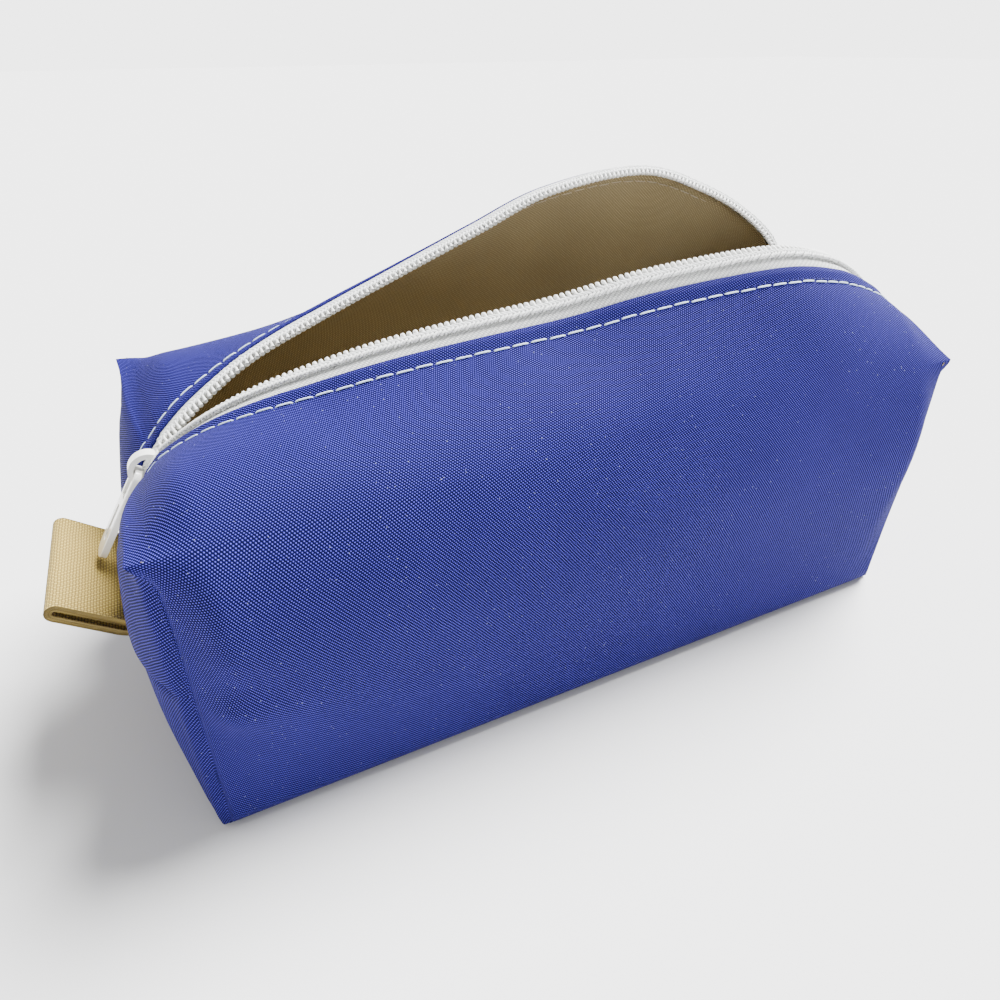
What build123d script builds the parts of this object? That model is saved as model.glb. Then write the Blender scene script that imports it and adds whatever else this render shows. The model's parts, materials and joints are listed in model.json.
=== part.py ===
from build123d import *
import os
from math import cos, radians, sin

# Pencil case: a boxed canvas pouch, lined, with a zip across its top and a folded tab at one end.
# Millimetres, +Z up. The origin is the middle of the flat bottom, +X runs along the zip.

os.makedirs("parts", exist_ok=True)

# Pouch
LENGTH = 203.0
WIDTH = 101.5
HEIGHT = 76.5
CORNER = 1.0
CANVAS = 0.9
LINING = 0.5
PLY_GAP = 0.3
SEAM_Z = 42.0
END_BULGE = 5.5
FLAP_CROWN = 3.0
HEM_GAP = 1.5
CORNER_INSET = 2.6

# Zip
TAPE = 0.4
TAPE_WIDTH = 8.8
TAPE_SHOWN = 9.0
COIL_WIDTH = 2.6
COIL_THICK = 1.5
COIL_GAP = 0.3
STITCH_INSET = 3.5
THREAD = 0.6

# Mouth: both lips lean out from the line between the two ends of the open zip
MOUTH_LEFT = Vector(-92.5, 0, 71.0)
MOUTH_RIGHT = Vector(LENGTH / 2 + END_BULGE - 0.8, 0, SEAM_Z + 0.8)
FRONT_LEAN = 30.0
BACK_LEAN = 16.0
# distance along that line, then how far the front lip and the back lip stand out from it
LIP_STATIONS = (
    (1, 1.7, 1.6),
    (8, 10.8, 8.6),
    (20, 21.5, 18.3),
    (40, 33.0, 29.3),
    (60, 40.9, 39.5),
    (80, 47.8, 49.5),
    (100, 56.3, 59.5),
    (132, 64.0, 67.0),
    (150, 62.8, 64.3),
    (166, 57.0, 59.3),
    (180, 48.5, 51.0),
    (191, 35.0, 37.0),
    (197.5, 19.0, 20.0),
    (200, 5.0, 5.2),
)

# Slider, on the closed end of the zip just below the mouth
SLOPE = 53.0
SLIDER_AT = Vector(-96.1, 0, 66.2)
SLIDER_LENGTH = 10.4
SLIDER_WIDTH = 8.0
SLIDER_TAIL_WIDTH = 5.4
PLATE = 1.1
PLATE_GAP = 2.4
NECK_AT = 3.6
BAIL_HEIGHT = 4.0
BAIL_WIDTH = 3.0
BAIL_THICK = 1.2

# Closed zip from the slider down to the end seam
TAIL_POINTS = (
    (-94.9, 67.8),
    (-98.0, 63.7),
    (-102.6, 56.5),
    (-105.4, 49.8),
    (-106.8, SEAM_Z + 0.9),
)

# Pull
PIN_ALONG = -1.7
PIN_ABOVE = 3.9
PIN_RADIUS = 0.65
PULL_LENGTH = 23.0
PULL_WIDTH = 6.4
PULL_THICK = 1.5
PULL_TILT = 34.0

# Tab
TAB_Y = -2.0
TAB_WIDTH = 36.0
TAB_REACH = 21.0
TAB_PLY = 1.5
TAB_SLIT = 1.2
TAB_RISE = 38.0
TAB_ROOT = Vector(-107.6, TAB_Y, 38.0)

HALF_L = LENGTH / 2
HALF_W = WIDTH / 2
FRONT = -1
BACK = 1
SIDES = ((FRONT, "front"), (BACK, "back"))
OUTER_PLY = (TAPE / 2 + PLY_GAP, TAPE / 2 + PLY_GAP + CANVAS)
INNER_PLY = (-TAPE / 2 - PLY_GAP - LINING, -TAPE / 2 - PLY_GAP)
TAPE_PLY = (-TAPE / 2, TAPE / 2)
COIL_PLY = (-COIL_THICK / 2, COIL_THICK / 2)
THREAD_PLY = (OUTER_PLY[1] + PLY_GAP, OUTER_PLY[1] + PLY_GAP + THREAD)

MOUTH_AXIS = (MOUTH_RIGHT - MOUTH_LEFT).normalized()
MOUTH_UP = Vector(-MOUTH_AXIS.Z, 0, MOUTH_AXIS.X)
TRAVEL = Vector(cos(radians(SLOPE)), 0, sin(radians(SLOPE)))
OUTWARD = Vector(-TRAVEL.Z, 0, TRAVEL.X)


def save(solid, name):
    """Label one finished sub-part and write its STEP file."""
    solid.label = name
    export_step(solid, f"parts/{name}.step")


def lip_point(along, rise, side):
    """Point of the zip line on one lip of the open mouth."""
    lean = radians(FRONT_LEAN if side == FRONT else BACK_LEAN)
    return (
        MOUTH_LEFT
        + MOUTH_AXIS * along
        + MOUTH_UP * (rise * cos(lean))
        + Vector(0, side * rise * sin(lean), 0)
    )


def fold_point(zip_point, side):
    """Point of the pouch's top edge, or of its upright corner, that faces a point of the zip."""
    turn = HALF_L - 14
    if zip_point.X < turn:
        return Vector(zip_point.X, side * HALF_W, HEIGHT)
    part = min(1, (zip_point.X - turn) / (MOUTH_RIGHT.X - turn))
    return Vector(
        turn + 14 * min(1, 2 * part),
        side * (HALF_W - CORNER_INSET * min(1, 4 * part)),
        HEIGHT - (HEIGHT - SEAM_Z - 1) * part**2,
    )


def flap_stations(side):
    """Pairs of points, fold and zip, along one flap from the slider to the right end seam."""
    pairs = []
    for along, front_rise, back_rise in LIP_STATIONS:
        zip_point = lip_point(along, front_rise if side == FRONT else back_rise, side)
        pairs.append((fold_point(zip_point, side), zip_point))
    return pairs


def gusset_stations(side):
    """Pairs of points, corner and closed zip, over the left end of the pouch."""
    corners = (
        (-HALF_L + 7.2, HEIGHT),
        (-HALF_L + 3, HEIGHT - 1),
        (-HALF_L, HEIGHT - 10),
        (-HALF_L, HEIGHT - 22),
        (-HALF_L, SEAM_Z + 1),
    )
    pairs = []
    for (corner_x, corner_z), (zip_x, zip_z) in zip(corners, TAIL_POINTS):
        corner_y = side * (HALF_W - (CORNER_INSET if corner_z < HEIGHT else 0))
        pairs.append((Vector(corner_x, corner_y, corner_z), Vector(zip_x, 0, zip_z)))
    return pairs


def section_plane(low, high, side):
    """Sketch plane of one cross section: x runs from low to high, y points out of the pouch."""
    run = (high - low).normalized()
    out = Vector((high.X / HALF_L) ** 7, side * 0.6, 0.8)
    return Plane(origin=low, x_dir=run, z_dir=run.cross(out).normalized())


def crown(part):
    """Height of the fabric's bulge at a fraction of the way from fold to zip."""
    return 4 * FLAP_CROWN * part * (1 - part)


def fabric_strip(stations, side, ply, far_edge, width=None):
    """Thin curved sheet lofted through the cross sections of one flap.

    It stops far_edge short of the zip line, and is as wide as given or reaches down to the fold.
    """
    with BuildPart() as strip:
        for low, high in stations:
            reach = (high - low).length
            last = 1 - far_edge / reach
            first = HEM_GAP / reach if width is None else last - width / reach
            fractions = (first, (first + last) / 2, last)
            under = [(reach * part, crown(part) + ply[0]) for part in fractions]
            over = [(reach * part, crown(part) + ply[1]) for part in fractions]
            with BuildSketch(section_plane(low, high, side)):
                with BuildLine():
                    ThreePointArc(*under)
                    Line(under[2], over[2])
                    ThreePointArc(*reversed(over))
                    Line(over[0], under[0])
                make_face()
        loft()
    return strip.part


def make_flaps():
    """Canvas, lining, tape, coil and seam thread of the two lips of the mouth."""
    tape_edge = COIL_GAP / 2 + COIL_WIDTH + PLY_GAP
    for side, word in SIDES:
        stations = flap_stations(side)
        save(fabric_strip(stations, side, OUTER_PLY, TAPE_SHOWN), f"{word}_flap_canvas")
        save(fabric_strip(stations, side, INNER_PLY, TAPE_SHOWN), f"{word}_flap_lining")
        tape = fabric_strip(stations, side, TAPE_PLY, tape_edge, TAPE_WIDTH - tape_edge)
        save(tape, f"{word}_zip_tape")
        save(fabric_strip(stations, side, COIL_PLY, COIL_GAP / 2, COIL_WIDTH), f"{word}_zip_coil")
        thread = fabric_strip(stations, side, THREAD_PLY, TAPE_SHOWN + STITCH_INSET, THREAD)
        save(thread, f"{word}_topstitch")


def make_gussets():
    """Canvas and lining over the upper half of the left end, either side of the closed zip."""
    for side, word in SIDES:
        stations = gusset_stations(side)
        save(fabric_strip(stations, side, OUTER_PLY, TAPE_SHOWN), f"left_{word}_gusset_canvas")
        save(fabric_strip(stations, side, INNER_PLY, TAPE_SHOWN), f"left_{word}_gusset_lining")


def make_closed_zip():
    """Meshed coils and the tape beside them, between the slider and the left end seam."""
    coils = COIL_WIDTH + COIL_GAP / 2
    with BuildPart() as zip_tail_coil:
        with BuildSketch(Plane.XZ):
            with BuildLine():
                Spline(*TAIL_POINTS)
            trace(line_width=COIL_THICK)
        extrude(amount=coils, both=True)
    save(zip_tail_coil.part, "zip_tail_coil")
    with BuildPart() as zip_tail_tape:
        with BuildSketch(Plane.XZ):
            with BuildLine():
                Spline(*TAIL_POINTS)
            trace(line_width=TAPE)
        extrude(amount=TAPE_SHOWN - PLY_GAP, both=True)
        with BuildSketch(Plane.XZ):
            with BuildLine():
                Spline(*TAIL_POINTS)
            trace(line_width=3 * COIL_THICK)
        extrude(amount=coils + PLY_GAP, both=True, mode=Mode.SUBTRACT)
    save(zip_tail_tape.part, "zip_tail_tape")


def make_walls(word, inset, ply):
    """Bottom, front and back wall of the canvas shell or of the lining inside it."""
    with BuildPart() as bottom:
        with BuildSketch(Plane.XY.offset(inset)):
            Rectangle(LENGTH - 4 * inset, WIDTH - 4 * inset)
        extrude(amount=ply)
    save(bottom.part, f"{word}_bottom")
    floor = inset + ply + PLY_GAP
    for side, name in SIDES:
        with BuildPart() as wall:
            with BuildSketch(Plane.XY.offset(floor)):
                with Locations((0, side * (HALF_W - inset - ply / 2))):
                    Rectangle(LENGTH - 2 * (CORNER + inset), ply)
            extrude(amount=HEIGHT - 1.5 * HEM_GAP - floor)
        save(wall.part, f"{name}_wall_{word}")


def make_ends(word, inset, ply):
    """Lower half of both ends, flat at the bottom and swelling to the seam."""
    floor = inset + ply + PLY_GAP
    top = SEAM_Z - 0.4
    reach = HALF_W - inset - ply - PLY_GAP
    for end, name in ((-1, "left"), (1, "right")):
        with BuildPart() as panel:
            for level, bulge in ((floor, 0.4), (top, END_BULGE)):
                face = HALF_L - inset
                outer = [(end * (face - CORNER), -reach), (end * (face + bulge), 0), (end * (face - CORNER), reach)]
                inner = [(x - end * ply, y) for x, y in outer]
                with BuildSketch(Plane.XY.offset(level)):
                    with BuildLine():
                        ThreePointArc(*outer)
                        Line(outer[2], inner[2])
                        ThreePointArc(*reversed(inner))
                        Line(inner[0], outer[0])
                    make_face()
            loft()
        save(panel.part, f"{name}_end_{word}")


def make_slider():
    """Two plates joined by a neck at the mouth side, with a bail arched over the top plate."""
    seat = Plane(origin=SLIDER_AT, x_dir=TRAVEL, z_dir=OUTWARD)
    half = SLIDER_LENGTH / 2
    shoulder = SLIDER_WIDTH / 2
    heel = SLIDER_TAIL_WIDTH / 2
    outline = [(-half, -heel), (0, -shoulder), (half - 1, -shoulder), (half, 1 - shoulder)]
    outline += [(x, -y) for x, y in reversed(outline)]
    with BuildPart() as slider_body:
        for level in (PLATE_GAP / 2, -PLATE_GAP / 2 - PLATE):
            with BuildSketch(seat.offset(level)):
                Polygon(*outline, align=None)
            extrude(amount=PLATE)
        with BuildSketch(seat.offset(-PLATE_GAP / 2)):
            with Locations((NECK_AT, 0)):
                Ellipse(1.3, 0.9)
        extrude(amount=PLATE_GAP)
    save(slider_body.part, "slider_body")

    foot = PLATE_GAP / 2 + PLATE
    arch = half - 0.8
    with BuildPart() as slider_bail:
        with BuildSketch(Plane(origin=SLIDER_AT, x_dir=TRAVEL, z_dir=(0, -1, 0))):
            with Locations((0, foot)):
                Ellipse(arch, BAIL_HEIGHT)
                Ellipse(arch - BAIL_THICK, BAIL_HEIGHT - BAIL_THICK, mode=Mode.SUBTRACT)
            with Locations((0, foot - BAIL_HEIGHT)):
                Rectangle(2 * SLIDER_LENGTH, 2 * BAIL_HEIGHT, mode=Mode.SUBTRACT)
        extrude(amount=BAIL_WIDTH / 2, both=True)
    save(slider_bail.part, "slider_bail")


def make_pull():
    """Slotted pull hanging by its crossbar through the bail."""
    pin = SLIDER_AT + TRAVEL * PIN_ALONG + OUTWARD * PIN_ABOVE
    hang = Vector(-sin(radians(PULL_TILT)), 0, -cos(radians(PULL_TILT)))
    out = Vector(0, 1, 0).cross(hang)
    face = Plane(origin=pin, x_dir=hang, z_dir=out)
    window = BAIL_WIDTH / 2 + 0.4
    with BuildPart() as pull:
        with BuildSketch(face):
            with Locations((PULL_LENGTH / 2 - 0.6, 0)):
                RectangleRounded(PULL_LENGTH + 1.2, PULL_WIDTH, 2.4)
            with Locations((3.0, 0)):
                Rectangle(7.6, 2 * window, mode=Mode.SUBTRACT)
            with Locations((14.0, 0)):
                SlotOverall(10.0, 2.0, mode=Mode.SUBTRACT)
        extrude(amount=PULL_THICK / 2, both=True)
        fillet(pull.edges().filter_by(GeomType.BSPLINE, reverse=True).group_by(Axis.X)[0], 0.3)
        with BuildSketch(Plane(origin=pin, x_dir=hang, z_dir=(0, 1, 0))):
            Circle(PIN_RADIUS)
        extrude(amount=window + 0.3, both=True)
    save(pull.part, "zip_pull")


def make_tab():
    """Folded loop of webbing, its slit open at the pouch, sewn into the left end seam."""
    rise = radians(TAB_RISE)
    reach = Vector(-cos(rise), 0, sin(rise))
    thick = 2 * TAB_PLY + TAB_SLIT
    with BuildPart() as end_tab:
        with BuildSketch(Plane(origin=TAB_ROOT, x_dir=reach, z_dir=(0, 1, 0))):
            with Locations((TAB_REACH / 2, 0)):
                RectangleRounded(TAB_REACH, thick, thick / 2 - 0.1)
            with Locations((TAB_REACH / 2 - thick, 0)):
                Rectangle(TAB_REACH, TAB_SLIT, mode=Mode.SUBTRACT)
            with Locations((0, 0)):
                Rectangle(thick, 2 * thick, mode=Mode.SUBTRACT)
        extrude(amount=TAB_WIDTH / 2, both=True)
    save(end_tab.part, "end_tab")


make_walls("canvas", 0, CANVAS)
make_walls("lining", CANVAS + PLY_GAP, LINING)
make_ends("canvas", 0, CANVAS)
make_ends("lining", CANVAS + PLY_GAP, LINING)
make_gussets()
make_closed_zip()
make_flaps()
make_slider()
make_pull()
make_tab()
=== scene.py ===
"""Pencil case: a lined canvas pouch with boxed corners, its coil zip standing open."""

import json
import math

import bpy
import numpy as np
from mathutils import Matrix, Vector, noise


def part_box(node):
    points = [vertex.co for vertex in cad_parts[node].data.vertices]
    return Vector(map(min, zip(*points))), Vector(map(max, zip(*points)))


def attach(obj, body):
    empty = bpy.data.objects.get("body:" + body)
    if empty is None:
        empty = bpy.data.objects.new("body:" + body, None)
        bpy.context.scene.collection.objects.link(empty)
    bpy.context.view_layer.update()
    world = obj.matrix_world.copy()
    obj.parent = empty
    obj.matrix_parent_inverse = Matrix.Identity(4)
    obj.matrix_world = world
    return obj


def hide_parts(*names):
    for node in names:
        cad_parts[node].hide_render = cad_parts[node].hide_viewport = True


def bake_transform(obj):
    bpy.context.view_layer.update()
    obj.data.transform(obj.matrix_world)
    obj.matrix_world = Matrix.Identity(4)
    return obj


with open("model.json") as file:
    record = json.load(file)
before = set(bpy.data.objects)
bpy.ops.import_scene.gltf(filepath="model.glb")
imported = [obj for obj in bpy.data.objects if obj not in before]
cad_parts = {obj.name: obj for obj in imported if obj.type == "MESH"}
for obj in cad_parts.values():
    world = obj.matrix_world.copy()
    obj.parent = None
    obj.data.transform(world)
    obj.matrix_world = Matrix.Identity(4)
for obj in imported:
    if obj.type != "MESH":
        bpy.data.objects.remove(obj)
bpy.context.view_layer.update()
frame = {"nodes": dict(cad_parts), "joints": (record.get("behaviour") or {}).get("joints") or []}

MM = 0.001
FRONT = -1
BACK = 1
SIDES = ((FRONT, "front"), (BACK, "back"))

# Sizes read from the frame; the CAD wall stops a little below the fold
wall_low, wall_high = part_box("front_wall_canvas")
bottom_low, bottom_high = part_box("canvas_bottom")
HALF_L = bottom_high[0]
HALF_W = bottom_high[1]
WALL_TO_FOLD = 2.25 * MM
HEIGHT = wall_high[2] + WALL_TO_FOLD
joints = {j["name"]: j for j in frame["joints"]}
MOUTH_LEFT = np.array(joints["front_lip_close"]["pos_m"], float)
MOUTH_AXIS = np.array(joints["back_lip_close"]["axis"], float)
MOUTH_UP = np.array([-MOUTH_AXIS[2], 0, MOUTH_AXIS[0]])
TAB_ROOT = np.array(joints["tab_flex"]["pos_m"], float)

# Mouth: distance along its line, then how far each lip stands out from it, as in the CAD
LEAN = {FRONT: math.radians(30), BACK: math.radians(16)}
LIP_STATIONS = np.array(
    [
        (0, 0.3, 0.3),
        (8, 10.8, 8.6),
        (20, 21.5, 18.3),
        (40, 33.0, 29.3),
        (60, 40.9, 39.5),
        (80, 47.8, 49.5),
        (100, 56.3, 59.5),
        (132, 64.0, 67.0),
        (150, 62.8, 64.3),
        (166, 57.0, 59.3),
        (180, 48.5, 51.0),
        (191, 35.0, 37.0),
        (197.5, 19.0, 20.0),
        (200.6, 0.3, 0.3),
    ]
) * MM
SEAM_Z = 42.5 * MM
TAIL = np.array([(-106.9, 0, 42.8), (-105.4, 0, 49.8), (-102.6, 0, 56.5), (-98.0, 0, 63.7)]) * MM

# Degrees by which the tape leaves each zip line above the straight line to the fold,
# by millimetres from the slider
HOOK = {
    FRONT: ((0, 16), (12, 15), (30, 3), (95, 2), (125, 12), (142, 26), (160, 32), (185, 30), (200, 22)),
    BACK: ((0, 28), (22, 32), (40, 38), (57, 46), (85, 62), (125, 76), (153, 84), (185, 66), (200, 30)),
}
# Lengths of the curve's handles at the zip line and at the fold, as shares of the straight line
TAPE_HANDLE = {FRONT: 0.38, BACK: 0.06}
FOLD_HANDLE = 0.33
CURL_FLAT = {FRONT: 0.0, BACK: 4.8 * MM}
LEAST_FLAT = 0.02 * MM
GUSSET_SWELL = 40
FOLD_SHIFT = {FRONT: 0.0, BACK: 4.0 * MM}

# Fabric and zip
TAPE_SHOWN = 6.3 * MM
LINING_INSET = 1.9 * MM
HEM_RADIUS = 0.42 * MM
STITCH_INSET = 3.5 * MM
STITCH_PITCH = 4.3 * MM
STITCH_LENGTH = 3.85 * MM
COIL_PITCH = 1.40 * MM
COIL_WIDTH = 2.9 * MM
COIL_LIFT = 0.85 * MM
COIL_HALF_HEIGHT = 0.42 * MM
COIL_EDGE = 0.40 * MM
COIL_YARN = 0.31 * MM
COIL_HEAD = 0.27 * MM
BELLY = 0.9 * MM
LINING_DEPTH = 1.4 * MM
SEAM_PINCH = 2.2 * MM
SEAM_TUCK = 1.3 * MM
EDGE_ROUND = 4.5 * MM
GUSSET_COLUMNS = 26
FLAP_COLUMNS = 150
ROWS = 40

# How far before the slider the flap begins, and how much of the zip's right end the gusset takes
LEFT_LAP = 4 * MM
RIGHT_GUSSET = 56 * MM

# One more row at the foot of an end panel and one more column at each of its sides
ALLOWANCE_PAD = ((1, 0), (1, 1), (0, 0))


# ---------------------------------------------------------------- curves and grids


def smooth_path(stations, count):
    """Points evenly spaced by length along a smooth curve through the stations."""
    stations = np.asarray(stations, float)
    steps = np.sqrt(np.linalg.norm(np.diff(stations, axis=0), axis=1))
    knots = np.concatenate([[0], np.cumsum(steps)])
    slopes = np.gradient(stations, knots, axis=0)
    fine = np.linspace(0, knots[-1], 1500)
    cell = np.clip(np.searchsorted(knots, fine, side="right") - 1, 0, len(knots) - 2)
    width = (knots[cell + 1] - knots[cell])[:, None]
    t = (fine[:, None] - knots[cell][:, None]) / width
    a, b = stations[cell], stations[cell + 1]
    ma, mb = slopes[cell] * width, slopes[cell + 1] * width
    curve = (
        (2 * t**3 - 3 * t**2 + 1) * a
        + (t**3 - 2 * t**2 + t) * ma
        + (3 * t**2 - 2 * t**3) * b
        + (t**3 - t**2) * mb
    )
    return resample(curve, count)


def lengths(path):
    """Distance from the start of a path to each of its points."""
    return np.concatenate([[0], np.cumsum(np.linalg.norm(np.diff(path, axis=0), axis=1))])


def resample(path, count):
    """The same path with count points evenly spaced by length."""
    reach = lengths(path)
    return along(path, np.linspace(0, reach[-1], count))


def along(path, distances):
    """Points of a path at given distances from its start."""
    reach = lengths(path)
    return np.stack([np.interp(distances, reach, path[:, k]) for k in range(3)], axis=1)


def unit(vectors):
    """Vectors of length one, along the last axis."""
    return vectors / np.maximum(np.linalg.norm(vectors, axis=-1, keepdims=True), 1e-12)


def outward_normals(grid, side):
    """Unit normals, away from the pocket, of a grid whose rows run down and columns run to the right."""
    across = np.gradient(grid, axis=1)
    down = np.gradient(grid, axis=0)
    return unit(np.cross(across, down)) * side


def smoothstep(t):
    """Zero to one with flat ends."""
    t = np.clip(t, 0, 1)
    return t * t * (3 - 2 * t)


def mesh_object(name, verts, faces, uvs=None, material=None):
    """A smooth-shaded mesh object; uvs holds one pair for each vertex."""
    mesh = bpy.data.meshes.new(name)
    mesh.from_pydata([tuple(v) for v in verts], [], [tuple(f) for f in faces])
    mesh.polygons.foreach_set("use_smooth", [True] * len(mesh.polygons))
    if uvs is not None:
        layer = mesh.uv_layers.new(name="UVMap")
        corner = np.empty(len(mesh.loops), dtype=np.int32)
        mesh.loops.foreach_get("vertex_index", corner)
        layer.data.foreach_set("uv", np.asarray(uvs, np.float32)[corner].ravel())
    mesh.update()
    piece = bpy.data.objects.new(name, mesh)
    bpy.context.scene.collection.objects.link(piece)
    if material:
        mesh.materials.append(material)
    return piece


def grid_faces(rows, cols, start=0, flip=False, closed=False):
    """Quads of a grid whose vertices are numbered row by row."""
    faces = []
    for r in range(rows - 1):
        upper = start + r * cols
        lower = upper + cols
        for c in range(cols if closed else cols - 1):
            d = (c + 1) % cols
            quad = (upper + c, upper + d, lower + d, lower + c)
            faces.append(quad[::-1] if flip else quad)
    return faces


# ---------------------------------------------------------------- the zip line and the pouch's edges


def lip_path(side):
    """The zip line of one lip, from the slider to the right end seam."""
    rise = LIP_STATIONS[:, 1 if side == FRONT else 2]
    lean = LEAN[side]
    points = MOUTH_LEFT + MOUTH_AXIS * LIP_STATIONS[:, :1] + MOUTH_UP * (rise * math.cos(lean))[:, None]
    points = points + np.array([0, side, 0]) * (rise * math.sin(lean))[:, None]
    return smooth_path(points, 900)


def zip_path(side):
    """The whole zip line of one side, left end seam to right end seam, and its length up to the slider."""
    tail = smooth_path(np.vstack([TAIL, MOUTH_LEFT]), 120)
    lip = lip_path(side)
    return np.vstack([tail[:-1], lip]), lengths(tail)[-1]


def base_path(side):
    """Up the left corner from the seam, along the top fold, and down the right corner."""
    y = side * HALF_W
    return np.array(
        [(-HALF_L, y, SEAM_Z), (-HALF_L, y, HEIGHT), (HALF_L, y, HEIGHT), (HALF_L, y, SEAM_Z)]
    )


def eased(count):
    """Zero to one in steps that are finer near both ends."""
    t = np.linspace(0, 1, count)
    return t - 0.7 * np.sin(2 * math.pi * t) / (2 * math.pi)


def pinch(base, side):
    """How far the corner seams are drawn in, from points of the left or right corner edge."""
    low = np.clip(base[:, 2] / HEIGHT, 0, 1)
    shape = np.interp(low, [0, 0.55, 0.75, 0.9, 0.96, 1.0], [0.0, 0.7, 0.88, 0.9, 0.5, 0.0])
    return np.where(base[:, 0] < 0, 1.0, 0.0) * SEAM_PINCH * shape


def columns(side):
    """Matching points of the zip line and of the fold, and how far along each they lie."""
    line, tail_length = zip_path(side)
    total = lengths(line)[-1]
    left = tail_length - LEFT_LAP
    right = total - RIGHT_GUSSET
    step = eased(GUSSET_COLUMNS)[:-1]
    middle = eased(FLAP_COLUMNS)
    end = eased(GUSSET_COLUMNS)[1:]
    zip_at = np.concatenate([left * step, left + (right - left) * middle, right + (total - right) * end])
    corner = HEIGHT - SEAM_Z
    right_corner = corner + 2 * HALF_L
    base_at = np.concatenate([corner * step, corner + 2 * HALF_L * middle, right_corner + corner * end])
    folds = along(base_path(side), base_at)
    folds[:, 0] += np.where(np.abs(folds[:, 2] - HEIGHT) > 1e-6, pinch(folds, side), 0)
    return along(line, zip_at), folds, zip_at, base_at


FIRST = GUSSET_COLUMNS - 1
LAST = FIRST + FLAP_COLUMNS - 1


def softness(x):
    """Zero at the ends of the pouch, one where its top fold has opened out."""
    return smoothstep((HALF_L - np.abs(x)) / (13 * MM))


def bezier(points, t):
    """Cubic curves with one parameter list: points are four arrays of columns."""
    t = t[:, None, None]
    p0, p1, p2, p3 = (p[None] for p in points)
    return (1 - t) ** 3 * p0 + 3 * t * (1 - t) ** 2 * p1 + 3 * t * t * (1 - t) * p2 + t**3 * p3


def flap_curves(side):
    """Fine curves from the zip line to the fold, one in each column, and the walls' direction at the fold."""
    zips, folds, _, base_at = columns(side)
    index = np.arange(len(zips))
    soft = softness(folds[:, 0]) * (index >= FIRST) * (index <= LAST)
    folds = folds.copy()
    folds[:, 1] -= side * FOLD_SHIFT[side] * soft
    chord = folds - zips
    reach = np.linalg.norm(chord, axis=1, keepdims=True)
    chord = chord / reach
    ahead = unit(np.gradient(zips, axis=0))
    out = unit(np.cross(ahead, chord)) * side
    beyond = (zips[:, 0] - MOUTH_LEFT[0]) / MM
    hook = np.radians(np.interp(beyond, *np.array(HOOK[side]).T))[:, None]
    past = np.maximum(FIRST - index, index - LAST) / GUSSET_COLUMNS
    swell = np.radians(np.interp(past, [-0.8, 0, 0.4], [2, 6, GUSSET_SWELL]))[:, None]
    up = np.array([0, 0, 1.0])
    leave = chord * np.cos(hook) + out * np.sin(hook)
    plain = -chord * np.cos(swell) + out * np.sin(swell)
    mixed = unit(up - chord)
    soft = soft[:, None]
    arrive = unit(soft * mixed + (1 - soft) * plain)
    wall = unit(soft * mixed + (1 - soft) * up)
    flat = CURL_FLAT[side] * smoothstep(beyond / 40)[:, None]
    flat = flat * smoothstep((200 - beyond) / 14)[:, None] + LEAST_FLAT
    start = zips + leave * flat
    leaving = start + leave * TAPE_HANDLE[side] * reach
    arriving = folds + arrive * FOLD_HANDLE * reach
    bent = bezier((start, leaving, arriving, folds), np.linspace(0, 1, 84))
    straight = zips + np.linspace(0, 1, 7)[:-1, None, None] * (leave * flat)
    curves = np.concatenate([straight, bent])
    from_seam = np.minimum(base_at, base_at[-1] - base_at)
    inside = np.linalg.norm(curves - folds, axis=2)
    drawn = tuck(from_seam)[None, :] * smoothstep(inside / (7 * MM))
    curves[:, :, 0] -= np.sign(folds[:, 0])[None, :] * drawn
    return curves, wall


def ripple(point, size, seed):
    """Soft unevenness of cloth, about -1 to 1."""
    return noise.noise(Vector(point) / size + Vector((seed, 3.1 * seed, -seed)))


def ripples(grid, size, seed):
    """ripple over a whole grid."""
    flat = [ripple(p, size, seed) for p in grid.reshape(-1, 3)]
    return np.array(flat).reshape(grid.shape[:-1])


def tuck(distance):
    """How deep cloth is drawn in at this distance from a seam."""
    return SEAM_TUCK * np.exp(-((distance / (1.7 * MM)) ** 2))


def corner_hold(z):
    """Lets the corner seams draw in everywhere but at the top corners."""
    return smoothstep((HEIGHT - z) / (6 * MM))


def flap_grid(side, inset):
    """Rows from near the zip line down to the fold, with their distance from the fold."""
    curves, wall = flap_curves(side)
    grid = np.empty((ROWS, curves.shape[1], 3))
    below = np.empty(grid.shape[:2])
    for k in range(curves.shape[1]):
        reach = lengths(curves[:, k])
        at = inset + (reach[-1] - inset) * eased(ROWS)
        grid[:, k] = along(curves[:, k], at)
        below[:, k] = reach[-1] - at
    return grid, below, wall


def hem_lift(inward):
    """The hem stands proud at its edge and is drawn down along its stitching."""
    at = TAPE_SHOWN + np.array([0, 1 * MM, STITCH_INSET, 2.1 * STITCH_INSET])
    return np.interp(inward, at, np.array([0.75, 0.8, -0.1, 0.0]) * MM, left=0.0)


def relieved_flap(flap, below, folds, side, inset):
    """A flap grid with its drawn-in seams, its unevenness and its raised hem."""
    outward = outward_normals(flap, side)
    index = np.arange(flap.shape[1])
    gusset = ((index < FIRST) | (index > LAST))[None, :]
    drawn = tuck(below) * np.where(gusset, corner_hold(folds[:, 2])[None, :], 0)
    flap[:, :, 0] -= np.sign(folds[:, 0])[None, :] * drawn
    flap[:, :, 1] -= side * drawn
    swing = np.clip(below / (9 * MM), 0, 1) * np.clip((below[0] - below) / (9 * MM), 0, 1)
    uneven = ripples(flap, 34 * MM, 2.0 + side) * 0.8 * MM * swing + hem_lift(below[0] - below + inset)
    return flap + outward * uneven[:, :, None]


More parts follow.
